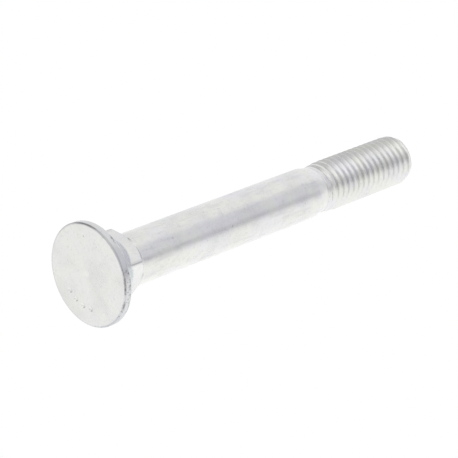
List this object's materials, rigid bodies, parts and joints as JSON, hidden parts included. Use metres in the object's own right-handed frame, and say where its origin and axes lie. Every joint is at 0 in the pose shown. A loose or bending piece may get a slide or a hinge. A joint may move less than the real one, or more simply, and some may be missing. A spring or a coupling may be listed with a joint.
{
  "type": "plow bolt",
  "caption": "Flat countersunk-head plow bolt with a square neck, a plain round shank and a rolled right-hand thread with a chamfered point.",
  "frame": {"origin": "centre of the flat head face, which stands on the ground at z = 0", "axes": "+Z along the bolt's axis from the head to the threaded point; X and Y square to the flats of the neck"},
  "size_m": [0.0238, 0.0238, 0.1],
  "materials": {
    "zinc_plated_steel": "clear zinc plating, satin, faintly mottled"
  },
  "bodies": {
    "root": {"plow_bolt": "zinc_plated_steel"}
  },
  "joints": []
}
